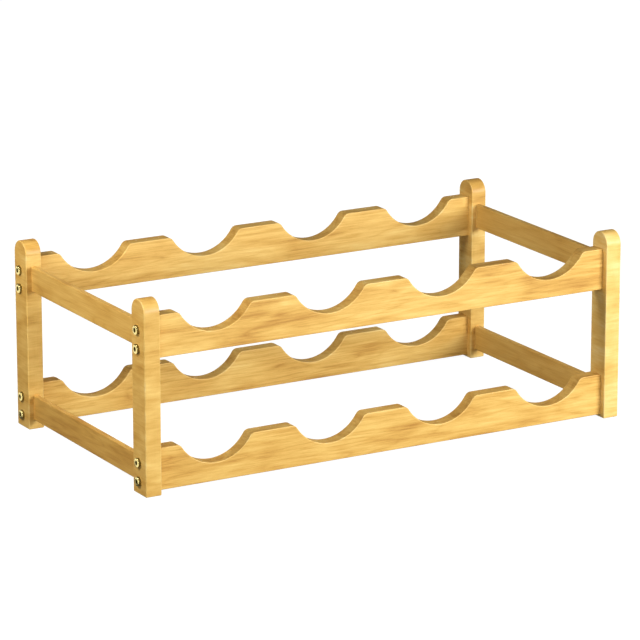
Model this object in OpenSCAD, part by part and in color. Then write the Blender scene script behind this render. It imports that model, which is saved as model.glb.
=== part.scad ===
// Two-tier wooden wine rack that holds bottles lying down, necks to the front.
// Four round-topped posts stand at the corners. Four notched rails run across and carry the
// bottles, one pair for each tier, and two plain rails a side join a front post to a rear post.
// X runs across the rack, Y from front to back, Z up. All sizes are in millimetres.
// The origin is in the middle of the footprint, on the floor.

/* [Rack] */
// Width across the outer faces of the posts
rack_w = 460; // [350:10:800]
// Depth from the front of the front posts to the back of the rear posts
rack_d = 240; // [150:5:400]
// Height to the top of the posts
rack_h = 165; // [135:5:300]
// Bottles side by side on each tier
bottles_per_tier = 4; // [2:1:5]

/* [Posts] */
// Post size across the rack
post_w = 14.5; // [12:0.5:20]
// Post size from front to back
post_d = 22.5; // [18.5:0.5:32]

/* [Notched rails] */
// Height of a notched rail
wave_h = 36; // [30:1:48]
// Thickness of a notched rail
wave_t = 13; // [10:0.5:17]
// Step from the middle of a post back to the middle of its notched rail
wave_set_back = 1.25; // [-1:0.25:1.5]
// Gap between the floor and the lower notched rail
wave_floor_gap = 2.5; // [1:0.5:12]
// Drop from the post top to the upper notched rail
wave_top_drop = 14.5; // [11:0.5:25]
// Diameter of bottle that a notch fits
notch_dia = 75; // [60:1:90]
// Depth of a notch at its middle
notch_depth = 20; // [12:1:24]
// Radius that eases the two corners of a notch
notch_ease = 6; // [1:0.5:9]

/* [Side rails] */
// Height of a side rail
side_h = 22; // [19:1:30]
// Thickness of a side rail
side_t = 5; // [4.5:0.5:9]
// Step from a post's outer face in to the face of its side rail
side_inset = 5; // [1:0.5:9]
// Gap between the floor and the lower side rail
side_floor_gap = 8; // [1:0.5:15]
// Drop from the post top to the upper side rail
side_top_drop = 21; // [12:0.5:30]

/* [Screws] */
// Diameter of a screw's shank
screw_dia = 4; // [3:0.5:5]
// Length of a screw under its head
screw_len = 30; // [22:1:35]
// Height of the lower screw of a joint above the bottom edge of its rail
screw_edge = 8.5; // [5:0.5:12]
// Distance between the two screws of a joint
screw_pitch = 16; // [11:0.5:18]
// Diameter of a screw's head
head_dia = 8; // [6.5:0.5:10]
// Height of a screw's head at its middle
head_h = 2.6; // [2:0.1:4]
// Rise of the slight crown on a head, part of its height
crown_h = 0.4; // [0.2:0.1:1]
// Distance across the flats of the hexagon socket
hex_af = 3.5; // [2:0.5:4]
// Depth of the hexagon socket
hex_depth = 2; // [1:0.1:3]

/* [Dowels] */
// Diameter of a dowel
dowel_dia = 3; // [2:0.5:3.5]
// Length of a dowel
dowel_len = 18; // [14:1:26]
// Distance between the two dowels of a joint
dowel_pitch = 11; // [7:0.5:14]
// Least wood left between a dowel hole and a screw hole
dowel_web = 1.5; // [1:0.5:3]

/* [Clearances] */
// Gap around a shank in its post, on each side
shank_gap = 0.2; // [0.1:0.1:0.5]
// Gap around a screw or dowel in a drilled rail end, on each side
drill_gap = 0.05; // [0.02:0.01:0.2]
// Room past the end of a screw or dowel in a rail
tip_gap = 0.5; // [0.2:0.1:2]

/* [Hidden] */
$fn = 96;

// Sides, ends and tiers of the rack
LEFT = -1;
RIGHT = 1;
FRONT = -1;
REAR = 1;
LOWER = 0;
UPPER = 1;

// Cuts run this far past a face, so that no skin is left
over = 1;

rail_colour = [0.87, 0.68, 0.38];
post_colour = [0.90, 0.72, 0.43];
dowel_colour = [0.80, 0.62, 0.40];
brass_colour = [0.85, 0.70, 0.35];

wave_len = rack_w - 2 * post_w;
side_len = rack_d - 2 * post_d;
bottle_pitch = wave_len / bottles_per_tier;

// Middle of a notch circle above the rail's top edge, and the eased corner's reach from it
notch_rise = notch_dia / 2 - notch_depth;
ease_x = sqrt(pow(notch_dia / 2 + notch_ease, 2) - pow(notch_rise + notch_ease, 2));

// Distance of a notched rail's middle, and so of its screws, behind the front face of their post
screw_y = post_d / 2 + wave_set_back;
shank_hole = screw_dia + 2 * shank_gap;
pilot_hole = screw_dia + 2 * drill_gap;
pilot_depth = screw_len - post_w + tip_gap;

// A dowel goes as deep into its post as the screw hole behind it allows
dowel_in_post = min(screw_y, post_d - screw_y) - shank_hole / 2 - dowel_web;
dowel_in_rail = dowel_len - dowel_in_post;
dowel_hole = dowel_dia + 2 * drill_gap;
dowel_inset = side_inset + side_t / 2;

// Radius of the ball that shapes a head's crown
crown_r = (pow(head_dia / 2, 2) + pow(crown_h, 2)) / (2 * crown_h);

// Front face of the posts at one end of the rack
function post_front(end) = end == FRONT ? -rack_d / 2 : rack_d / 2 - post_d;

// Face of a post that its side rails meet
function side_joint(end) = end * side_len / 2;

// Bottom edges of the rails of one tier
function wave_z(tier) = tier == LOWER ? wave_floor_gap : rack_h - wave_top_drop - wave_h;
function side_z(tier) = tier == LOWER ? side_floor_gap : rack_h - side_top_drop - side_h;

// Heights of the two screws and of the two dowels in a joint of one tier
function screw_heights(tier) = [for (i = [0, 1]) wave_z(tier) + screw_edge + i * screw_pitch];
function dowel_heights(tier) = [for (s = [-1, 1]) side_z(tier) + side_h / 2 + s * dowel_pitch / 2];

// Draws a left-hand piece on the side that is asked for
module on_side(side) {
    if (side == RIGHT) {
        mirror([1, 0, 0]) children();
    } else {
        children();
    }
}

// Straight hole that starts at the origin and runs along +X
module hole_x(dia, depth) {
    translate([-over, 0, 0])
        rotate([0, 90, 0])
            cylinder(d = dia, h = depth + over);
}

// Straight hole that starts at the origin and runs along Y, forward (-1) or back (1)
module hole_y(dia, depth, way) {
    translate([0, -way * over, 0])
        rotate([-way * 90, 0, 0])
            cylinder(d = dia, h = depth + over);
}

// Post of square section with a half-round top
module post(end, side) {
    color(post_colour) on_side(side)
        translate([-rack_w / 2, post_front(end), 0])
            difference() {
                rotate([90, 0, 90]) linear_extrude(post_w) post_outline();
                for (tier = [LOWER, UPPER]) {
                    for (z = screw_heights(tier))
                        translate([0, screw_y, z]) hole_x(shank_hole, post_w + over);
                    for (z = dowel_heights(tier))
                        translate([dowel_inset, end == FRONT ? post_d : 0, z])
                            hole_y(dowel_hole, dowel_in_post, end);
                }
            }
}

// Side view of a post, front face at zero
module post_outline() {
    square([post_d, rack_h - post_d / 2]);
    translate([post_d / 2, rack_h - post_d / 2]) circle(d = post_d);
}

// Rail across the rack, with a notch for each bottle
module wave_rail(end, tier) {
    color(rail_colour)
        translate([-wave_len / 2, post_front(end) + screw_y, wave_z(tier)])
            difference() {
                translate([0, wave_t / 2, 0])
                    rotate([90, 0, 0]) linear_extrude(wave_t) wave_outline();
                for (z = [screw_edge, screw_edge + screw_pitch]) {
                    translate([0, 0, z]) hole_x(pilot_hole, pilot_depth);
                    translate([wave_len, 0, z])
                        mirror([1, 0, 0]) hole_x(pilot_hole, pilot_depth);
                }
            }
}

// Front view of a notched rail, lower left corner at the origin
module wave_outline() {
    difference() {
        square([wave_len, wave_h]);
        for (i = [0 : bottles_per_tier - 1])
            translate([(i + 0.5) * bottle_pitch, wave_h]) notch();
    }
}

// Round notch with eased corners, its mouth centred on the origin
module notch() {
    translate([0, notch_rise]) circle(d = notch_dia);
    for (s = [-1, 1])
        difference() {
            polygon([[0, notch_rise], [s * ease_x, -notch_ease], [s * ease_x, notch_rise]]);
            translate([s * ease_x, -notch_ease]) circle(r = notch_ease);
        }
}

// Plain rail that joins a front post to a rear post
module side_rail(side, tier) {
    color(rail_colour) on_side(side)
        translate([-rack_w / 2 + side_inset, 0, 0])
            difference() {
                translate([0, -side_len / 2, side_z(tier)]) cube([side_t, side_len, side_h]);
                for (end = [FRONT, REAR])
                    for (z = dowel_heights(tier))
                        translate([side_t / 2, side_joint(end), z])
                            hole_y(dowel_hole, dowel_in_rail + tip_gap, -end);
            }
}

// Pair of screws that holds one end of a notched rail to its post
module screw_pair(end, side, tier) {
    color(brass_colour) on_side(side)
        for (z = screw_heights(tier))
            translate([-rack_w / 2, post_front(end) + screw_y, z]) rotate([0, 90, 0]) screw();
}

// Flat-headed screw with a hexagon socket, its shank up and the underside of its head at zero
module screw() {
    cylinder(d = screw_dia, h = screw_len);
    difference() {
        intersection() {
            translate([0, 0, -head_h]) cylinder(d = head_dia, h = head_h);
            translate([0, 0, crown_r - head_h]) sphere(r = crown_r);
        }
        translate([0, 0, -head_h - over])
            cylinder(d = hex_af / cos(30), h = hex_depth + over, $fn = 6);
    }
}

// Pair of dowels that holds one end of a side rail to its post
module dowel_pair(end, side, tier) {
    color(dowel_colour) on_side(side)
        for (z = dowel_heights(tier))
            translate([-rack_w / 2 + dowel_inset, side_joint(end) + end * dowel_in_post, z])
                rotate([end * 90, 0, 0]) cylinder(d = dowel_dia, h = dowel_len);
}

post(FRONT, LEFT);  // post_front_left
post(FRONT, RIGHT);  // post_front_right
post(REAR, LEFT);  // post_rear_left
post(REAR, RIGHT);  // post_rear_right
wave_rail(FRONT, UPPER);  // wave_rail_upper_front
wave_rail(REAR, UPPER);  // wave_rail_upper_rear
wave_rail(FRONT, LOWER);  // wave_rail_lower_front
wave_rail(REAR, LOWER);  // wave_rail_lower_rear
side_rail(LEFT, UPPER);  // side_rail_upper_left
side_rail(RIGHT, UPPER);  // side_rail_upper_right
side_rail(LEFT, LOWER);  // side_rail_lower_left
side_rail(RIGHT, LOWER);  // side_rail_lower_right
screw_pair(FRONT, LEFT, UPPER);  // screws_front_left_upper
screw_pair(FRONT, LEFT, LOWER);  // screws_front_left_lower
screw_pair(FRONT, RIGHT, UPPER);  // screws_front_right_upper
screw_pair(FRONT, RIGHT, LOWER);  // screws_front_right_lower
screw_pair(REAR, LEFT, UPPER);  // screws_rear_left_upper
screw_pair(REAR, LEFT, LOWER);  // screws_rear_left_lower
screw_pair(REAR, RIGHT, UPPER);  // screws_rear_right_upper
screw_pair(REAR, RIGHT, LOWER);  // screws_rear_right_lower
dowel_pair(FRONT, LEFT, UPPER);  // dowels_front_left_upper
dowel_pair(FRONT, LEFT, LOWER);  // dowels_front_left_lower
dowel_pair(FRONT, RIGHT, UPPER);  // dowels_front_right_upper
dowel_pair(FRONT, RIGHT, LOWER);  // dowels_front_right_lower
dowel_pair(REAR, LEFT, UPPER);  // dowels_rear_left_upper
dowel_pair(REAR, LEFT, LOWER);  // dowels_rear_left_lower
dowel_pair(REAR, RIGHT, UPPER);  // dowels_rear_right_upper
dowel_pair(REAR, RIGHT, LOWER);  // dowels_rear_right_lower
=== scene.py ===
# %% [markdown]
# # A two-tier wine rack in varnished wood
#
# Four round-topped posts, four scalloped rails that carry the bottles, and four plain side rails.
# Brass socket screws hold the scalloped rails, and hidden dowels hold the side rails.
# The structure, with every size and place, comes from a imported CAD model. This lesson dresses it:
# each piece is modelled again with soft edges, given a wood or brass finish, and lit in a studio.
#
# The first cell loads that model.

# %% Load the frame
import math
import random

import bmesh
import bpy
from mathutils import Matrix, Vector


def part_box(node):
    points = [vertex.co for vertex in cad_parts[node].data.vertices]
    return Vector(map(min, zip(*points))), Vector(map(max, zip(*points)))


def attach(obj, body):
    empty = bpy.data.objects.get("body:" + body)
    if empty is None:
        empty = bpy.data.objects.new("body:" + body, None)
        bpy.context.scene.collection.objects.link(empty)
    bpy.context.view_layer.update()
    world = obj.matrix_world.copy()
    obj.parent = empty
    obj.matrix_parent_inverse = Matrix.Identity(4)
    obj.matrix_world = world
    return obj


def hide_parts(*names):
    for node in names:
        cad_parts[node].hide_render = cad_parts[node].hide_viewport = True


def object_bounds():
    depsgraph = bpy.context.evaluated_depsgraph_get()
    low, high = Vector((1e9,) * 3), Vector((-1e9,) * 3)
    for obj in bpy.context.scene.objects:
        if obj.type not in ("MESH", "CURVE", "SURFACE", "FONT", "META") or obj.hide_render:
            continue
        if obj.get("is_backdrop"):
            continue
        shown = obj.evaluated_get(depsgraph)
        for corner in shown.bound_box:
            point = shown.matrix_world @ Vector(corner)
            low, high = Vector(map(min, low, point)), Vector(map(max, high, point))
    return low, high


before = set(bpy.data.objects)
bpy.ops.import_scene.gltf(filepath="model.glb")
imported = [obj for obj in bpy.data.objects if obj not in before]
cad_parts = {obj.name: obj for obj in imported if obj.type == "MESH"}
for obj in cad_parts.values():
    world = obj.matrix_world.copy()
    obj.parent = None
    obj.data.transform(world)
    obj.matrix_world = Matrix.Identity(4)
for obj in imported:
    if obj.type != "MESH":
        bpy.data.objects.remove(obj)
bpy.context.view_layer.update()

mm = 0.001
print("pieces:", len(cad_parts))

# %% [markdown]
# ## Reading the sizes
#
# A maker starts from a cutting list. Here the list is read from the frame, so a post made below is
# as wide, deep and tall as the CAD post it stands for. Only what a box can't tell, such as the
# notch circle, the drill sizes and the easing of the edges, is written out.

# %% The cutting list
ends = ("front", "rear")
sides = ("left", "right")
tiers = ("lower", "upper")
joints = [(end, side, tier) for end in ends for side in sides for tier in tiers]


def size_of(node):
    """Width, depth and height of a CAD node, in metres."""
    low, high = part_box(node)
    return high - low


post_size = size_of("post_front_left")
wave_size = size_of("wave_rail_lower_front")
side_size = size_of("side_rail_lower_left")

bottles_per_tier = 4
notch_radius = 37.5 * mm
notch_depth = 20 * mm
notch_ease = 6 * mm
post_easing = 1.0 * mm
rail_easing = 0.8 * mm
hair = 0.1 * mm  # two places nearer than this count as the same

for title, size in (("post", post_size), ("scalloped rail", wave_size), ("side rail", side_size)):
    print(title, "in mm:", [round(v / mm, 2) for v in size])

# %% [markdown]
# ## Tools of the bench
#
# Blender's operators work on whatever is selected, and loading the frame leaves all of it selected.
# So each step starts from a clean selection, and picks its faces, edges or points by a test on
# where they are. These few helpers are the hands that do it. The last one hands a finished piece
# over to the frame: the rack is rigid, so every piece rides on its one body.

# %% Selecting and editing


def clear_selection():
    """Leaves edit mode and deselects every object."""
    if bpy.context.object and bpy.context.object.mode != "OBJECT":
        bpy.ops.object.mode_set(mode="OBJECT")
    bpy.ops.object.select_all(action="DESELECT")


def take(piece):
    """Makes one piece the selected and active one."""
    clear_selection()
    piece.select_set(True)
    bpy.context.view_layer.objects.active = piece


def pick(piece, kind, test):
    """In edit mode, selects only the verts, edges or faces that pass a test. Returns how many did."""
    bpy.ops.mesh.select_mode(type={"verts": "VERT", "edges": "EDGE", "faces": "FACE"}[kind])
    bpy.ops.mesh.select_all(action="DESELECT")
    shape = bmesh.from_edit_mesh(piece.data)
    chosen = [part for part in getattr(shape, kind) if test(part)]
    for part in chosen:
        part.select_set(True)
    shape.select_flush_mode()
    bmesh.update_edit_mesh(piece.data)
    return len(chosen)


def new_block(name, low, high):
    """A box between two corners, its place in its mesh, left in edit mode."""
    clear_selection()
    bpy.ops.mesh.primitive_cube_add(size=1, location=(low + high) / 2)
    piece = bpy.context.object
    piece.name = name
    piece.scale = high - low
    bpy.ops.object.transform_apply(location=True, rotation=True, scale=True)
    bpy.ops.object.mode_set(mode="EDIT")
    return piece


def lone_point(name, place):
    """A new piece that is one point, selected and left in edit mode."""
    clear_selection()
    bpy.ops.mesh.primitive_plane_add(size=1 * mm, location=(0, 0, 0))
    piece = bpy.context.object
    piece.name = name
    bpy.ops.object.mode_set(mode="EDIT")
    bpy.ops.mesh.select_mode(type="VERT")
    bpy.ops.mesh.merge(type="CENTER")
    bpy.ops.transform.translate(value=place)
    return piece


def copy_of(piece, name, move):
    """A copy with its own mesh, moved to its place, which goes into the mesh."""
    clear_selection()
    made = piece.copy()
    made.data = piece.data.copy()
    made.name = name
    made.data.name = name
    bpy.context.scene.collection.objects.link(made)
    take(made)
    made.location = move
    bpy.ops.object.transform_apply(location=True, rotation=True, scale=True)
    return made


def hand_over(piece, node, finish):
    """Gives a finished piece its material, and lets it stand for its CAD node."""
    piece.data.materials.clear()
    piece.data.materials.append(finish)
    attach(piece, "root")
    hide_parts(node)


# %% [markdown]
# ## Drilling
#
# On the real rack the posts are drilled through for the screws, and the rails and posts are drilled
# for the dowels. A Boolean modifier is the drill press: all the bits for one piece are joined in
# one cutter, which is taken away in one stroke. The holes are hidden once the rack is together, but
# a piece that is lifted out of the assembly should have them.

# %% The drill press
shank_radius = 2 * mm
shank_clearance = 0.2 * mm
drill_clearance = 0.05 * mm
tip_room = 0.5 * mm
bit_sides = 32


def screw_axes(end, side, tier):
    """Middle points of the two screws of a joint, at the post's outer face, and the head's radius."""
    low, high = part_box(f"screws_{end}_{side}_{tier}")
    radius = (high.y - low.y) / 2
    post_low, post_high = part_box(f"post_{end}_{side}")
    x = post_low.x if side == "left" else post_high.x
    y = (low.y + high.y) / 2
    return [Vector((x, y, z)) for z in (low.z + radius, high.z - radius)], radius


def dowel_axes(end, side, tier):
    """Middles of the two dowels of a joint, a dowel's radius and its length."""
    low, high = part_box(f"dowels_{end}_{side}_{tier}")
    radius = (high.x - low.x) / 2
    x = (low.x + high.x) / 2
    y = (low.y + high.y) / 2
    return [Vector((x, y, z)) for z in (low.z + radius, high.z - radius)], radius, high.y - low.y


def drill(piece, bits):
    """Takes straight holes out of a piece. A bit is its middle, its axis letter, its radius and length."""
    clear_selection()
    turns = {"x": (0, math.pi / 2, 0), "y": (math.pi / 2, 0, 0)}
    cutters = []
    for middle, axis, radius, length in bits:
        bpy.ops.mesh.primitive_cylinder_add(
            vertices=bit_sides, radius=radius, depth=length, location=middle, rotation=turns[axis]
        )
        cutters.append(bpy.context.object)
    clear_selection()
    for cutter in cutters:
        cutter.select_set(True)
    bpy.context.view_layer.objects.active = cutters[0]
    bpy.ops.object.join()
    cutter = bpy.context.object
    take(piece)
    hole = piece.modifiers.new("Drill", "BOOLEAN")
    hole.operation = "DIFFERENCE"
    hole.solver = "EXACT"
    hole.object = cutter
    bpy.ops.object.modifier_apply(modifier=hole.name)
    take(cutter)
    bpy.ops.object.delete()
    return len(bits)


# %% [markdown]
# ## Eased edges
#
# Sanded wood never has a razor edge. A small rounding catches the light as a thin bright line, and
# it is where varnish sits thinnest. The Bevel tool rounds the picked edges and gives its new faces
# the piece's second material slot. `mark_easing` reads that afterwards and writes it down as a
# smooth attribute, 1 along the middle of each rounding, which the wood finish uses for its wear.

# %% Rounding and marking edges
easing_steps = 4


def two_slots(piece):
    """Gives a blank one material slot for its flats, and a second one for its rounded edges."""
    for _ in range(2):
        piece.data.materials.append(None)


def ease_edges(radius):
    """In edit mode, rounds the selected edges and paints the rounding with the second slot."""
    bpy.ops.mesh.bevel(
        offset=radius, segments=easing_steps, profile=0.5, affect="EDGES", material=1, clamp_overlap=True
    )


def mark_easing(piece):
    """Writes the attribute 'easing', and leaves the piece with one material slot."""
    touches_flat = set()
    for face in piece.data.polygons:
        if face.material_index == 0:
            touches_flat.update(face.vertices)
    worn = piece.data.attributes.new("easing", "FLOAT", "POINT")
    worn.data.foreach_set("value", [0.0 if i in touches_flat else 1.0 for i in range(len(worn.data))])
    for face in piece.data.polygons:
        face.material_index = 0
    piece.data.materials.pop()


def finish_surface(piece):
    """Smooth shading over the roundings while the flats stay flat."""
    take(piece)
    bpy.ops.object.shade_smooth_by_angle(angle=math.radians(40))
    even = piece.modifiers.new("Flats", "WEIGHTED_NORMAL")
    even.mode = "FACE_AREA"
    even.keep_sharp = True
    bpy.ops.object.modifier_apply(modifier=even.name)


# %% [markdown]
# ## Shader maths
#
# The finishes are built from nodes. `Socket` wraps one node output and lets Python's own signs add
# the Math nodes, so `1 - mask` is a real expression. `Finish` is one material being mixed, and its
# `node` method adds any other node from its type, its settings and what goes into its sockets.

# %% Sockets and finishes


class Socket:
    """A node's output that can be added, subtracted, multiplied and raised like a number."""

    def __init__(self, finish, output):
        self.finish = finish
        self.output = output

    def __add__(self, other):
        return self.finish.maths("ADD", self, other)

    def __radd__(self, other):
        return self.finish.maths("ADD", other, self)

    def __sub__(self, other):
        return self.finish.maths("SUBTRACT", self, other)

    def __rsub__(self, other):
        return self.finish.maths("SUBTRACT", other, self)

    def __mul__(self, other):
        return self.finish.maths("MULTIPLY", self, other)

    def __pow__(self, other):
        return self.finish.maths("POWER", self, other)


class Finish:
    """A material being mixed from nodes."""

    def __init__(self, name):
        self.material = bpy.data.materials.new(name)
        self.material.use_nodes = True
        self.tree = self.material.node_tree
        self.tree.nodes.clear()

    def node(self, kind, settings=None, inputs=None, output=0):
        """Adds a node, sets it up, fills its sockets, and returns one of its outputs."""
        made = self.tree.nodes.new(kind)
        for name, value in (settings or {}).items():
            if name == "stops":
                self.set_stops(made.color_ramp, value)
            else:
                setattr(made, name, value)
        for name, value in (inputs or {}).items():
            if isinstance(value, Socket):
                self.tree.links.new(value.output, made.inputs[name])
            else:
                made.inputs[name].default_value = value
        return Socket(self, made.outputs[output])

    def set_stops(self, ramp, stops):
        """Fills a colour ramp from (place, colour) pairs."""
        while len(ramp.elements) < len(stops):
            ramp.elements.new(0.5)
        for element, (place, colour) in zip(ramp.elements, stops):
            element.position = place
            element.color = (*colour, 1)

    def maths(self, operation, first, second=0.0):
        """A Math node on sockets or numbers."""
        return self.node("ShaderNodeMath", {"operation": operation}, {0: first, 1: second})

    def mix(self, factor, first, second):
        """A Mix node on two colours."""
        settings = {"data_type": "RGBA", "clamp_factor": True}
        return self.node("ShaderNodeMix", settings, {0: factor, 6: first, 7: second}, output=2)

    def between(self, value, low, high):
        """0 below low, 1 above high, and a smooth step from one to the other."""
        settings = {"interpolation_type": "SMOOTHSTEP"}
        return self.node("ShaderNodeMapRange", settings, {"Value": value, "From Min": low, "From Max": high})

    def noise(self, place, detail=2.0, roughness=0.5, distortion=0.0):
        """Noise of one unit's grain size, from 0 to 1."""
        inputs = {
            "Vector": place, "Scale": 1.0, "Detail": detail,
            "Roughness": roughness, "Distortion": distortion,
        }
        return self.node("ShaderNodeTexNoise", {"noise_dimensions": "3D"}, inputs, output="Fac")

    def surface(self, **inputs):
        """The Principled shader, its sockets named in plain words, as a finished material."""
        sockets = {name.replace("_", " ").title().replace("Ior", "IOR"): v for name, v in inputs.items()}
        return self.finished(self.node("ShaderNodeBsdfPrincipled", {}, sockets))

    def finished(self, shader):
        """Plugs a shader into the material's output, and returns the material."""
        output = self.tree.nodes.new("ShaderNodeOutputMaterial")
        self.tree.links.new(shader.output, output.inputs["Surface"])
        return self.material


# %% [markdown]
# ## The varnished wood
#
# The rack is a pale, even wood under a honey-coloured satin varnish. Its figure has several layers,
# and each one is noise stretched one way: slow clouds where the varnish took darker, soft flames,
# thin streaks, wandering growth lines, hair-fine fibres and short pores. All of them add up to one
# tone, and a ramp turns it into colour, so dark places are also redder, as they are on real wood.
#
# On the rails the figure runs along the wood. On the posts it lies across them in faint bands, as
# on rippled wood, so each figure is described by its size along the stick and across it. Two things
# are added to the tone by hand: the sawn ends soak up more varnish and are darker, and the eased
# edges, where it was rubbed thin, are lighter.
#
# The pattern is read in object space, so it runs through each piece as through solid wood, and a
# sawn end shows the end grain by itself. The layers of a board go deep into it, so they are also
# stretched through its thickness. Otherwise the notches, which cut across them, would look wormy.

# %% The wood finish
grain_of = {"x": Vector((1, 0, 0)), "y": Vector((0, 1, 0)), "z": Vector((0, 0, 1))}

honey_ramp = [
    (0.00, (0.300, 0.120, 0.018)),
    (0.28, (0.500, 0.245, 0.045)),
    (0.52, (0.690, 0.400, 0.090)),
    (0.76, (0.820, 0.535, 0.150)),
    (1.00, (0.910, 0.680, 0.265)),
]

# Each layer of a figure: its size along the stick and across it, in mm, and its weight
rail_figure = {
    "clouds": (60, 16, 1.00),
    "flames": (50, 3.4, 0.55),
    "streaks": (24, 0.8, 0.66),
    "fibres": (7, 0.4, 0.18),
    "pores": (3.2, 0.16, 0.12),
    "lines": (190, 18, 0.16),
}
post_figure = {
    "clouds": (20, 34, 0.70),
    "flames": (5, 26, 0.52),
    "streaks": (1.3, 16, 0.40),
    "fibres": (5, 0.5, 0.05),
    "pores": (2.6, 0.16, 0.10),
    "lines": (190, 16, 0.02),
}
middle_tone = 0.62
end_darkening = 0.10
edge_lightening = 0.16
satin = 0.42


def stretched(finish, place, axis, along, across, through=None, depth=1):
    """The place, scaled so that noise has this grain size in mm along an axis and across it.

    A through axis has the size across times a depth, as growth layers run into a board.
    """
    sizes = {letter: across * (depth if letter == through else 1) for letter in "xyz"}
    sizes[axis] = along
    scale = [1 / (mm * sizes[letter]) for letter in "xyz"]
    return finish.node("ShaderNodeMapping", {}, {"Vector": place, "Scale": scale}, output="Vector")


def varnished_wood(name, grain, through, figure, contrast, tone_and_painted_light, shift):
    """Honey-varnished wood. Its stick runs along the grain's axis, and its layers go through."""
    wood = Finish(name)
    spot = wood.node("ShaderNodeTexCoord", output="Object")
    spot = wood.node("ShaderNodeVectorMath", {"operation": "ADD"}, {0: spot, 1: shift}, output="Vector")

    def layer(title, depth=1, **settings):
        """Noise of one layer's size, centred on zero, and the layer's weight."""
        along, across, weight = figure[title]
        place = stretched(wood, spot, grain, along, across, through, depth)
        return wood.noise(place, **settings) - 0.5, weight

    clouds, cloud_weight = layer("clouds", depth=2, detail=2, distortion=0.5)
    flames, flame_weight = layer("flames", depth=6, detail=2, distortion=0.3)
    streaks, streak_weight = layer("streaks", depth=12, detail=3, roughness=0.6)
    fibres, fibre_weight = layer("fibres", detail=2, roughness=0.6)
    specks, pore_weight = layer("pores", detail=1)
    pores = wood.between(specks, 0.08, 0.22)
    rings, line_weight = layer("lines", depth=2, detail=1, distortion=0.3)
    lines = (1 - wood.maths("PINGPONG", rings * 10, 0.5) * 2) ** 4

    normal = wood.node("ShaderNodeNewGeometry", output="Normal")
    facing = wood.node(
        "ShaderNodeVectorMath", {"operation": "DOT_PRODUCT"}, {0: normal, 1: grain_of[grain]}, output="Value"
    )
    sawn_end = wood.maths("ABSOLUTE", facing) ** 4
    easing = wood.node("ShaderNodeAttribute", {"attribute_name": "easing"}, output="Fac")

    pattern = clouds * cloud_weight + flames * flame_weight + streaks * streak_weight
    pattern = pattern + fibres * fibre_weight - lines * line_weight - pores * pore_weight
    # A board's tone offset is its own, except on the three boards where it carries painted light or painted
    # shade.
    shade = pattern * contrast + (middle_tone + tone_and_painted_light) - sawn_end * end_darkening + easing * edge_lightening
    colour = wood.node("ShaderNodeValToRGB", {"stops": honey_ramp}, {"Fac": shade}, output="Color")

    height = streaks * 0.5 + fibres * 0.5 - pores * 0.4
    relief = {"Strength": 0.2, "Distance": 0.1 * mm, "Height": height}
    bump = wood.node("ShaderNodeBump", {}, relief, output="Normal")
    dullness = satin + fibres * 0.14 + sawn_end * 0.12 - easing * 0.08
    return wood.surface(
        base_color=colour, roughness=dullness, normal=bump,
        coat_weight=0.08, coat_roughness=0.25, specular_ior_level=0.3,
    )


# %% [markdown]
# ## The posts
#
# A post is a rectangular stick whose top was rounded over on a sander, from front to back. In
# Blender it is a block whose two top edges are bevelled by half the post's depth, so that they meet
# in a half circle. Then every hard edge is eased. The blank is made once and copied to the four
# corners. Each copy is drilled at its own places, because a front post takes its dowels from
# behind, and a rear post from the front.

# %% Post blank
dome_steps = 20
post_low, post_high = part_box("post_front_left")
post_blank = new_block("post_blank", post_low, post_high)
two_slots(post_blank)


def across_the_top(edge):
    """True for the two edges at the top of the post that run across the rack."""
    first, second = (v.co for v in edge.verts)
    level = min(first.z, second.z) > post_high.z - hair
    return level and abs(first.y - second.y) < hair


found = pick(post_blank, "edges", across_the_top)
bpy.ops.mesh.bevel(offset=post_size.y / 2, segments=dome_steps, profile=0.5, affect="EDGES", material=0)
bpy.ops.mesh.select_all(action="SELECT")
bpy.ops.mesh.remove_doubles(threshold=0.1 * hair)
bpy.ops.mesh.select_all(action="DESELECT")
bpy.ops.mesh.select_mode(type="EDGE")
bpy.ops.mesh.edges_select_sharp(sharpness=math.radians(60))
ease_edges(post_easing)
bpy.ops.object.mode_set(mode="OBJECT")
print("post blank:", found, "top edges rounded,", len(post_blank.data.polygons), "faces")

# %% Four posts
posts = {}
for end in ends:
    for side in sides:
        node = f"post_{end}_{side}"
        low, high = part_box(node)
        post = copy_of(post_blank, f"wood_{node}", low - post_low)
        bits = []
        for tier in tiers:
            centres, _ = screw_axes(end, side, tier)
            bits += [(centre, "x", shank_radius + shank_clearance, 4 * post_size.x) for centre in centres]
            centres, dowel_radius, dowel_length = dowel_axes(end, side, tier)
            bits += [(c, "y", dowel_radius + drill_clearance, dowel_length) for c in centres]
        drilled = drill(post, bits)
        mark_easing(post)
        finish_surface(post)
        posts[node] = post
        print(node, "drilled", drilled, "times,", len(post.data.polygons), "faces")

clear_selection()
bpy.data.objects.remove(post_blank)

# %% [markdown]
# ## The scalloped rails
#
# Each tier's bottles lie in two of these rails. A maker sets the outline out with a rule and a
# compass: straight runs along the top, and three arcs for each bottle, the notch itself and a small
# easing arc on either side, all tangent where they meet. The same is done here with one point that
# is extruded along straight lines and spun round the centres of the arcs. The outline is then
# filled and given its thickness.

# %% Setting out with rule and compass
notch_rise = notch_radius - notch_depth
ease_reach = math.sqrt((notch_radius + notch_ease) ** 2 - (notch_rise + notch_ease) ** 2)
ease_turn = math.atan2(ease_reach, notch_rise + notch_ease)
bottle_pitch = wave_size.x / bottles_per_tier
ease_steps = 6
notch_steps = 44
print("notch mouth in mm:", round(2 * ease_reach / mm, 2), "arc in degrees:", round(math.degrees(ease_turn)))


def rule(x, z):
    """Draws a straight line from the current point by this step."""
    bpy.ops.mesh.extrude_vertices_move(TRANSFORM_OT_translate={"value": (x, 0, z)})


def compass(centre, turn, steps):
    """Swings the current point round a centre, anticlockwise as seen from the front."""
    bpy.ops.mesh.spin(steps=steps, angle=turn, center=centre, axis=(0, 1, 0))


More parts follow.
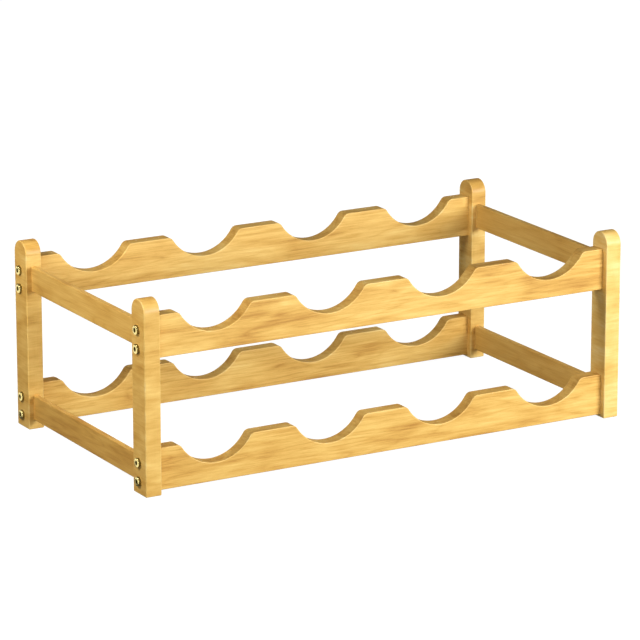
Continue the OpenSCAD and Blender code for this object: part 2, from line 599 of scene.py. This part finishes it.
def wave_outline(name, low, high):
    """The outline of a scalloped rail as a chain of edges, left in edit mode."""
    rail = lone_point(name, low)
    rule(0, high.z - low.z)
    here = low.x
    for place in range(bottles_per_tier):
        middle = low.x + (place + 0.5) * bottle_pitch
        rule(middle - ease_reach - here, 0)
        compass((middle - ease_reach, low.y, high.z - notch_ease), -ease_turn, ease_steps)
        compass((middle, low.y, high.z + notch_rise), 2 * ease_turn, notch_steps)
        compass((middle + ease_reach, low.y, high.z - notch_ease), -ease_turn, ease_steps)
        here = middle + ease_reach
    rule(high.x - here, 0)
    rule(0, low.z - high.z)
    return rail


# %% Rail blank
wave_low, wave_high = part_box("wave_rail_lower_front")
wave_blank = wave_outline("wave_blank", wave_low, wave_high)
two_slots(wave_blank)
bpy.ops.mesh.select_all(action="SELECT")
bpy.ops.mesh.edge_face_add()
bpy.ops.mesh.extrude_region_move(TRANSFORM_OT_translate={"value": (0, wave_size.y, 0)})
bpy.ops.mesh.select_all(action="SELECT")
bpy.ops.mesh.normals_make_consistent(inside=False)


def off_the_ends(edge, axis, low, high):
    """True for a hard edge that isn't on either end of a rail."""
    places = [v.co[axis] for v in edge.verts]
    on_end = max(places) < low + hair or min(places) > high - hair
    return not on_end and edge.calc_face_angle(0) > math.radians(60)


found = pick(wave_blank, "edges", lambda e: off_the_ends(e, 0, wave_low.x, wave_high.x))
ease_edges(rail_easing)
bpy.ops.object.mode_set(mode="OBJECT")
print("rail blank:", found, "edges eased,", len(wave_blank.data.polygons), "faces")

# %% Four scalloped rails
wave_rails = {}
for tier in tiers:
    for end in ends:
        node = f"wave_rail_{tier}_{end}"
        low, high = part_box(node)
        rail = copy_of(wave_blank, f"wood_{node}", low - wave_low)
        bits = []
        for side in sides:
            centres, _ = screw_axes(end, side, tier)
            screws_low, screws_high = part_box(f"screws_{end}_{side}_{tier}")
            face, tip = (low.x, screws_high.x) if side == "left" else (high.x, screws_low.x)
            reach = abs(tip - face) + tip_room
            for centre in centres:
                middle = Vector((face, centre.y, centre.z))
                bits.append((middle, "x", shank_radius + drill_clearance, 2 * reach))
        drilled = drill(rail, bits)
        mark_easing(rail)
        finish_surface(rail)
        wave_rails[node] = rail
        print(node, "drilled", drilled, "times,", len(rail.data.polygons), "faces")

clear_selection()
bpy.data.objects.remove(wave_blank)

# %% [markdown]
# ## The side rails
#
# Plain sticks from a front post to a rear post. Their four long edges are eased before they are cut
# to length, so the ends stay square and close tightly against the posts.

# %% Four side rails
side_low, side_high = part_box("side_rail_lower_left")
side_blank = new_block("side_blank", side_low, side_high)
two_slots(side_blank)
pick(side_blank, "edges", lambda e: off_the_ends(e, 1, side_low.y, side_high.y))
ease_edges(rail_easing)
bpy.ops.object.mode_set(mode="OBJECT")

side_rails = {}
for tier in tiers:
    for side in sides:
        node = f"side_rail_{tier}_{side}"
        low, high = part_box(node)
        rail = copy_of(side_blank, f"wood_{node}", low - side_low)
        bits = []
        for end in ends:
            centres, dowel_radius, dowel_length = dowel_axes(end, side, tier)
            bits += [(c, "y", dowel_radius + drill_clearance, dowel_length + 2 * tip_room) for c in centres]
        drilled = drill(rail, bits)
        mark_easing(rail)
        finish_surface(rail)
        side_rails[node] = rail
        print(node, "drilled", drilled, "times,", len(rail.data.polygons), "faces")

clear_selection()
bpy.data.objects.remove(side_blank)

# %% [markdown]
# ## Varnish on every board
#
# No two sticks are cut from the same plank, so each gets its own mix of the finish: the grain along
# its length, a tone a little lighter or darker, and its own stretch of the pattern. Three tones are
# painted light and shade, not the wood's own: the front right post is made lighter as painted
# light, and the upper rear scalloped rail and the lower left side rail are made darker as painted
# shade. The tones are listed in the order in which the boards were made: posts, scalloped rails, side rails.

# %% Finishing the wood
# The front right post's 0.20 is painted light; the upper rear scalloped rail's 0.06 and the lower left side
# rail's -0.12 are painted shade.
board_tones_and_painted_light = (0.02, 0.20, 0.00, 0.03, -0.03, 0.01, -0.01, 0.06, -0.12, -0.05, -0.03, 0.01)
pattern_step = (0.423, 0.71, 0.13)
cuts = (
    (posts, "post_wood", {"grain": "z", "through": None, "figure": post_figure, "contrast": 1.0}),
    (wave_rails, "rail_wood", {"grain": "x", "through": "y", "figure": rail_figure, "contrast": 0.82}),
    (side_rails, "rail_wood", {"grain": "y", "through": "x", "figure": rail_figure, "contrast": 0.55}),
)
varnished = 0
for boards, slot, cut in cuts:
    for node, board in boards.items():
        shift = [step * varnished for step in pattern_step]
        varnish = varnished_wood(f"varnish_{node}", tone_and_painted_light=board_tones_and_painted_light[varnished], shift=shift, **cut)
        hand_over(board, node, varnish)
        varnished += 1
print("varnished", varnished, "pieces of wood")

# %% [markdown]
# ## The brass screws
#
# Two screws hold each end of a scalloped rail. Their heads are small flat discs with a straight
# wall and a hexagon socket, and they stand proud of the post. A lathe turns such a screw from bar,
# so Spin is the right tool: half an outline, drawn with the same rule and compass, goes once round
# the axis. The socket is a ring of six sides, pushed in and bridged to the crown.
#
# The first screw stands on the origin with its head down. Everything about it that the drill press
# doesn't need, such as the socket and the thread, is given here.

# %% The screw's sizes
one_joint_low, one_joint_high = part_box("screws_front_left_upper")
head_radius = (one_joint_high.y - one_joint_low.y) / 2
head_height = post_low.x - one_joint_low.x
shank_length = one_joint_high.x - post_low.x
crown_height = 0.4 * mm
crown_radius = (head_radius**2 + crown_height**2) / (2 * crown_height)
rim_easing = 0.45 * mm
key_size = 3.5 * mm
socket_radius = key_size / 2 / math.cos(math.radians(30))
socket_depth = 1.7 * mm
socket_cone = 0.3 * mm
mouth_chamfer = 0.25 * mm
mouth_drop = 0.12 * mm
mouth_radius = socket_radius + mouth_chamfer
plain_radius = shank_radius - 0.1 * mm
root_radius = 1.4 * mm
thread_pitch = 1.8 * mm
thread_start = post_size.x + 0.5 * mm
thread_lead = 0.4 * mm
point_length = 2.5 * mm
turned_sides = 48
print("screw head in mm:", round(2 * head_radius / mm, 2), "wide and", round(head_height / mm, 2), "high")

# %% Half the outline of a screw
crown_middle = crown_radius - head_height
rim_x = head_radius - rim_easing
rim_angle = math.asin(rim_x / (crown_radius - rim_easing))
rim_z = crown_middle - (crown_radius - rim_easing) * math.cos(rim_angle)
mouth_angle = math.asin(mouth_radius / crown_radius)
mouth_z = crown_middle - crown_radius * math.cos(mouth_angle)
thread_end = shank_length - point_length

screw_blank = lone_point("screw_blank", (mouth_radius, 0, mouth_z))
compass((0, 0, crown_middle), rim_angle - mouth_angle, 3)
compass((rim_x, 0, rim_z), math.radians(90) - rim_angle, 5)
rule(0, -rim_z)
rule(plain_radius - head_radius, 0)
rule(0, thread_start)
rule(root_radius - plain_radius, thread_lead)
rule(0, thread_end - thread_start - thread_lead)
rule(-root_radius, point_length)

# %% The thread's rings, and the spin
rings_per_turn = 6
thread_turns = (thread_end - thread_start) / thread_pitch


def along_the_thread(edge):
    """True for the edge of the outline that carries the thread."""
    heights = sorted(v.co.z for v in edge.verts)
    return heights[0] > thread_start + thread_lead - hair and heights[1] < thread_end + hair


pick(screw_blank, "edges", along_the_thread)
bpy.ops.mesh.subdivide(number_cuts=round(thread_turns * rings_per_turn) - 1)
bpy.ops.mesh.select_all(action="SELECT")
bpy.ops.mesh.spin(steps=turned_sides, angle=math.radians(360), center=(0, 0, 0), axis=(0, 0, 1))
bpy.ops.mesh.select_all(action="SELECT")
bpy.ops.mesh.remove_doubles(threshold=0.005 * mm)

# %% [markdown]
# The socket starts as a ring of six sides in the mouth of the crown. It is extruded to its depth,
# closed with a shallow cone as a drill leaves it, and each of its top sides is split so that Bridge
# can join it to the round mouth, point for point.

# %% The hexagon socket
bpy.ops.mesh.select_all(action="DESELECT")
bpy.ops.mesh.primitive_circle_add(
    vertices=6, radius=socket_radius, location=(0, 0, mouth_z + mouth_drop), fill_type="NOTHING"
)
bpy.ops.mesh.subdivide(number_cuts=turned_sides // 6 - 1)
bpy.ops.mesh.extrude_edges_move(TRANSFORM_OT_translate={"value": (0, 0, socket_depth)})
bpy.ops.mesh.extrude_edges_move(TRANSFORM_OT_translate={"value": (0, 0, socket_cone)})
bpy.ops.mesh.merge(type="CENTER")
open_rims = pick(screw_blank, "edges", lambda e: e.is_boundary)
bpy.ops.mesh.bridge_edge_loops()
bpy.ops.mesh.select_all(action="SELECT")
bpy.ops.mesh.remove_doubles(threshold=0.005 * mm)
bpy.ops.mesh.normals_make_consistent(inside=False)
left_open = pick(screw_blank, "edges", lambda e: not e.is_manifold)
bpy.ops.object.mode_set(mode="OBJECT")
print("bridged", open_rims, "edges, left open:", left_open)

# %% [markdown]
# A thread is a ridge that climbs one pitch for each turn. The rings are already there, so each of
# their points only moves out by how near it is to the ridge, and the ridge fades in and out at its
# ends. At the same time each point writes down how far it is from the axis, and whether it is in
# the socket or on the head's wall. The brass finish reads both, and paints those two places dark as
# painted shade.

# %% The thread and the marks for the finish
ridge_slope = 3.2
turning = screw_blank.data.attributes.new("turning", "FLOAT", "POINT")
recess = screw_blank.data.attributes.new("recess", "FLOAT", "POINT")
for point in screw_blank.data.vertices:
    x, y, z = point.co
    reach = math.hypot(x, y)
    turning.data[point.index].value = reach / mm
    # The socket and the head's wall get 1, and the brass paints them dark there as painted shade.
    in_socket = z < -hair and reach < socket_radius + 0.1 * hair
    on_wall = z > rim_z - hair
    recess.data[point.index].value = 1.0 if in_socket or on_wall else 0.0
    if thread_start + thread_lead - hair < z < thread_end + hair and reach > 0:
        lap = (z - thread_start) / thread_pitch - math.atan2(y, x) / math.tau
        ridge = max(0.0, 1 - abs(lap % 1 - 0.5) * ridge_slope)
        fade = min(1.0, (z - thread_start) / thread_pitch, (thread_end - z) / thread_pitch)
        radius = root_radius + (shank_radius - root_radius) * ridge * max(0.0, fade)
        point.co.x *= radius / reach
        point.co.y *= radius / reach
take(screw_blank)
bpy.ops.object.shade_smooth_by_angle(angle=math.radians(38))
print("screw:", len(screw_blank.data.polygons), "faces, thread of", round(thread_turns, 1), "turns")

# %% [markdown]
# Every joint gets two screws. Each is driven home by hand, so its socket ends up turned its own
# way, which a seeded random number decides. Both are joined into one piece that stands for the
# joint's CAD node. The screws on the right are turned round and not mirrored, because a mirror
# would make their threads left-handed.

# %% Driving sixteen screws
hand = random.Random(7)


def placed_copy(blank, name, place, turn):
    """A copy of a blank, turned and moved to its place, which goes into its mesh."""
    made = copy_of(blank, name, Vector((0, 0, 0)))
    made.matrix_world = Matrix.Translation(place) @ turn
    bpy.ops.object.transform_apply(location=True, rotation=True, scale=True)
    return made


def joined(pieces, name):
    """Joins pieces into one, as separate solids."""
    clear_selection()
    for piece in pieces:
        piece.select_set(True)
    bpy.context.view_layer.objects.active = pieces[0]
    bpy.ops.object.join()
    pieces[0].name = name
    pieces[0].data.name = name
    return pieces[0]


screw_pairs = {}
for end, side, tier in joints:
    centres, _ = screw_axes(end, side, tier)
    drive = Matrix.Rotation(math.radians(90 if side == "left" else -90), 4, "Y")
    pair = []
    for centre in centres:
        own_turn = Matrix.Rotation(hand.uniform(0, math.tau), 4, "Z")
        pair.append(placed_copy(screw_blank, "screw", centre, drive @ own_turn))
    node = f"screws_{end}_{side}_{tier}"
    screw_pairs[node] = joined(pair, f"brass_{node}")
clear_selection()
bpy.data.objects.remove(screw_blank)
print("joints screwed:", len(screw_pairs))

# %% [markdown]
# ## The brass finish
#
# The screws are brass plated and bright. A turned head shows fine rings from the tool, which are
# noise on the distance from the axis and so follow each head wherever it is. The plating is a
# little uneven in colour. In the socket and on the wall of the head it is duller, and it is painted
# darker there as painted shade.

# %% Brass
polish = 0.14
rings_per_mm = 7.0


def bright_brass(name):
    """Bright brass plating with turning marks, dull and painted dark as painted shade in the socket and on
    the wall.
    """
    brass = Finish(name)
    spot = brass.node("ShaderNodeTexCoord", output="Object")
    cloud = brass.noise(stretched(brass, spot, "x", 1.5, 1.5), detail=3)
    reach = brass.node("ShaderNodeAttribute", {"attribute_name": "turning"}, output="Fac")
    recess = brass.node("ShaderNodeAttribute", {"attribute_name": "recess"}, output="Fac")
    radial = {"W": reach, "Scale": rings_per_mm}
    rings = brass.node("ShaderNodeTexNoise", {"noise_dimensions": "1D"}, radial, output="Fac")
    colour = brass.mix(cloud, (0.86, 0.69, 0.24, 1), (0.98, 0.86, 0.40, 1))
    # Painted shade: the socket and the head's wall are mixed towards dark brown.
    colour = brass.mix(recess * 0.8, colour, (0.15, 0.115, 0.02, 1))
    marks = {"Strength": 0.3, "Distance": 0.02 * mm, "Height": rings}
    bump = brass.node("ShaderNodeBump", {}, marks, output="Normal")
    dullness = polish + cloud * 0.06 + recess * 0.3
    return brass.surface(base_color=colour, metallic=1.0, roughness=dullness, normal=bump)


brass = bright_brass("brass_plating")
for node, pair in screw_pairs.items():
    hand_over(pair, node, brass)
print("plated", len(screw_pairs), "pairs of screws")

# %% [markdown]
# ## The dowels
#
# The side rails are held by two glued dowels at each end, all of them hidden. A dowel is a bare
# wooden pin with flutes that let the glue out and with chamfered tips that find the hole. It is a
# cylinder with every third line of points drawn in, and its two end faces extruded to smaller ones.

# %% A fluted dowel
dowel_low, dowel_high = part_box("dowels_front_left_upper")
dowel_radius = (dowel_high.x - dowel_low.x) / 2
dowel_length = dowel_high.y - dowel_low.y
tip_chamfer = 0.5 * mm
flute_share = 0.92
tip_share = 0.78
dowel_sides = 36
clear_selection()
bpy.ops.mesh.primitive_cylinder_add(
    vertices=dowel_sides, radius=dowel_radius, depth=dowel_length - 2 * tip_chamfer, location=(0, 0, 0)
)
dowel_blank = bpy.context.object
dowel_blank.name = "dowel_blank"
bpy.ops.object.mode_set(mode="EDIT")


def on_a_flute(point):
    """True for every third line of points round the dowel."""
    step = math.atan2(point.co.y, point.co.x) / math.tau * dowel_sides
    return round(step) % 3 == 0


fluted = pick(dowel_blank, "verts", on_a_flute)
bpy.ops.transform.resize(value=(flute_share, flute_share, 1))
for way in (-1, 1):
    pick(dowel_blank, "faces", lambda f: f.normal.z * way > 0.9)
    bpy.ops.mesh.extrude_region_move(TRANSFORM_OT_translate={"value": (0, 0, way * tip_chamfer)})
    bpy.ops.transform.resize(value=(tip_share, tip_share, 1))
bpy.ops.object.mode_set(mode="OBJECT")
bpy.ops.object.shade_smooth_by_angle(angle=math.radians(20))
print("dowel in mm:", round(2 * dowel_radius / mm, 2), "by", round(dowel_length / mm, 2))
print("fluted points:", fluted)

# %% Sixteen dowels and their bare wood


def bare_wood(name):
    """Pale wood without varnish, its grain along Y."""
    wood = Finish(name)
    spot = wood.node("ShaderNodeTexCoord", output="Object")
    streaks = wood.noise(stretched(wood, spot, "y", 9, 0.5), detail=3, roughness=0.6)
    flecks = wood.noise(stretched(wood, spot, "y", 1.6, 0.25), detail=1)
    flecks = wood.between(flecks, 0.62, 0.72)
    colour = wood.mix(streaks, (0.52, 0.33, 0.17, 1), (0.68, 0.47, 0.27, 1))
    colour = wood.mix(flecks * 0.5, colour, (0.36, 0.20, 0.10, 1))
    relief = {"Strength": 0.3, "Distance": 0.1 * mm, "Height": streaks}
    bump = wood.node("ShaderNodeBump", {}, relief, output="Normal")
    return wood.surface(base_color=colour, roughness=0.68 + streaks * 0.12, normal=bump)


dowel_wood = bare_wood("dowel_wood")
lying_down = Matrix.Rotation(math.radians(90), 4, "X")
for end, side, tier in joints:
    node = f"dowels_{end}_{side}_{tier}"
    centres, _, _ = dowel_axes(end, side, tier)
    pair = [placed_copy(dowel_blank, "dowel", centre, lying_down) for centre in centres]
    hand_over(joined(pair, f"wood_{node}"), node, dowel_wood)
clear_selection()
bpy.data.objects.remove(dowel_blank)
print("joints dowelled:", len(joints))

# %% [markdown]
# ## The studio
#
# A product like this one is pictured on a sweep of white paper that shows no corner and hardly any
# shadow. Here it is one large plane. Its paper takes light and gives off some of its own, so that
# the ground under the rack keeps a trace of a shadow, and further away it burns out to plain white.
#
# The air is one white for the camera's own rays, and a dim warm grey for the light it casts on the
# wood. The Light Path node tells the two apart. The view transform is Standard, because a filmic one
# would grey the white and dull the honey colour.

# %% Floor and world
bpy.context.scene.view_settings.view_transform = "Standard"


def look_at(thing, target):
    """Turns a light or camera so that it faces a point."""
    thing.rotation_euler = (Vector(target) - thing.location).to_track_quat("-Z", "Y").to_euler()


clear_selection()
bpy.ops.mesh.primitive_plane_add(size=14, location=(0, 0, -0.2 * mm))
floor = bpy.context.object
floor.name = "studio_floor"
near = 0.5
far = 1.6
near_glow = 0.93
far_glow = 1.0
paper = Finish("floor_paper")
spot = paper.node("ShaderNodeTexCoord", output="Object")
reach = paper.node("ShaderNodeVectorMath", {"operation": "LENGTH"}, {0: spot}, output="Value")
strength = paper.between(reach, near, far) * (far_glow - near_glow) + near_glow
matt = paper.node("ShaderNodeBsdfDiffuse", {}, {"Color": (0.25, 0.25, 0.25, 1)})
glow = paper.node("ShaderNodeEmission", {}, {"Color": (1, 1, 1, 1), "Strength": strength})
floor.data.materials.append(paper.finished(paper.node("ShaderNodeAddShader", {}, {0: matt, 1: glow})))
floor.visible_glossy = False
floor.visible_diffuse = False
floor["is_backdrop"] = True

world = bpy.data.worlds.new("studio_air")
world.use_nodes = True
bpy.context.scene.world = world
air = world.node_tree
background = air.nodes["Background"]
background.inputs["Color"].default_value = (1, 0.97, 0.92, 1)
background.inputs["Strength"].default_value = 0.10
backdrop = air.nodes.new("ShaderNodeBackground")
backdrop.inputs["Color"].default_value = (1, 1, 1, 1)
sight = air.nodes.new("ShaderNodeLightPath")
either = air.nodes.new("ShaderNodeMixShader")
air.links.new(sight.outputs["Is Camera Ray"], either.inputs[0])
air.links.new(background.outputs[0], either.inputs[1])
air.links.new(backdrop.outputs[0], either.inputs[2])
air.links.new(either.outputs[0], air.nodes["World Output"].inputs["Surface"])

# %% [markdown]
# Light comes from softboxes, which are area lights. The key stands low, in front and to the right.
# It rakes the front faces and leaves the left ones a shade darker, so that the corners of the posts
# show. A small fill keeps the front left edge from going black, a warm one close to the left end
# lights the side rails, and a weak one overhead lifts the tops a little. The fill at the back is for
# whoever walks round the rack. It is kept out of reflections, or it would glint on every flat top.

# %% Lights


def softbox(name, place, target, width, height, power, colour=(1, 1, 1)):
    """A rectangular area light that faces a point."""
    clear_selection()
    bpy.ops.object.light_add(type="AREA", location=place)
    lamp = bpy.context.object
    lamp.name = name
    lamp.data.shape = "RECTANGLE"
    lamp.data.size = width
    lamp.data.size_y = height
    lamp.data.energy = power
    lamp.data.color = colour
    lamp.visible_camera = False
    look_at(lamp, target)
    return lamp


softbox("key", (0.62, -1.30, 0.42), (0.05, -0.1, 0.08), 1.1, 0.5, 26)
softbox("front_fill", (-0.90, -0.95, 0.45), (-0.2, -0.1, 0.08), 0.5, 0.5, 4.2)
softbox("left_fill", (-0.66, 0.02, 0.50), (-0.23, 0, 0.10), 0.24, 0.24, 3.1, (1, 0.94, 0.88))
back_fill = softbox("back_fill", (0.4, 1.5, 0.26), (0, 0.1, 0.06), 1.2, 0.4, 13, (1, 0.97, 0.92))
back_fill.visible_glossy = False
softbox("top", (0, 0.2, 1.6), (0, 0, 0), 1.2, 0.8, 0.8)

# %% [markdown]
# Polished brass has no colour of its own to show. It looks like what stands around it, and in an
# empty white studio that is grey. So a white card lies at each end of the rack for the screws to
# see. The wood doesn't need it, so light linking gives the cards' light to the brass alone.

# %% Reflector cards
card = Finish("reflector_white")
shine = card.node("ShaderNodeEmission", {}, {"Color": (1, 0.97, 0.9, 1), "Strength": 1.1})
card_white = card.finished(shine)
brass_only = bpy.data.collections.new("lit_by_reflectors")
for pair in screw_pairs.values():
    brass_only.objects.link(pair)

for side, place in (("left", (-0.65, 0.55, 1 * mm)), ("right", (0.65, -0.55, 1 * mm))):
    clear_selection()
    bpy.ops.mesh.primitive_plane_add(size=1, location=place)
    reflector = bpy.context.object
    reflector.name = f"reflector_card_{side}"
    reflector.scale = (0.8, 1.4, 1)
    bpy.ops.object.transform_apply(location=True, rotation=True, scale=True)
    reflector.data.materials.append(card_white)
    reflector.visible_camera = False
    reflector.visible_diffuse = False
    reflector.visible_shadow = False
    reflector.light_linking.receiver_collection = brass_only
    reflector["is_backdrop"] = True

# %% [markdown]
# ## The camera
#
# The rack is seen from its front left, from a little above, so that the front, the left end and the
# tops all show. The lens is long and the camera far off, because that keeps the far end of the rack
# nearly as tall as the near end. Turning the camera with `to_track_quat` keeps its picture upright.

# %% Camera
camera_azimuth = math.radians(-29.83)
camera_elevation = math.radians(15.48)
camera_distance = 3.38
aim = Vector((-1.5 * mm, -5 * mm, 91 * mm))

back = Vector((
    math.sin(camera_azimuth) * math.cos(camera_elevation),
    -math.cos(camera_azimuth) * math.cos(camera_elevation),
    math.sin(camera_elevation),
))
clear_selection()
bpy.ops.object.camera_add(location=aim + back * camera_distance)
camera = bpy.context.object
look_at(camera, aim)
camera.data.lens = 221.8
camera.data.clip_end = 30
bpy.context.scene.camera = camera

# %% Sizes and the last line
low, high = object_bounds()
print("visual box in mm:", [round(v / mm, 2) for v in high - low])
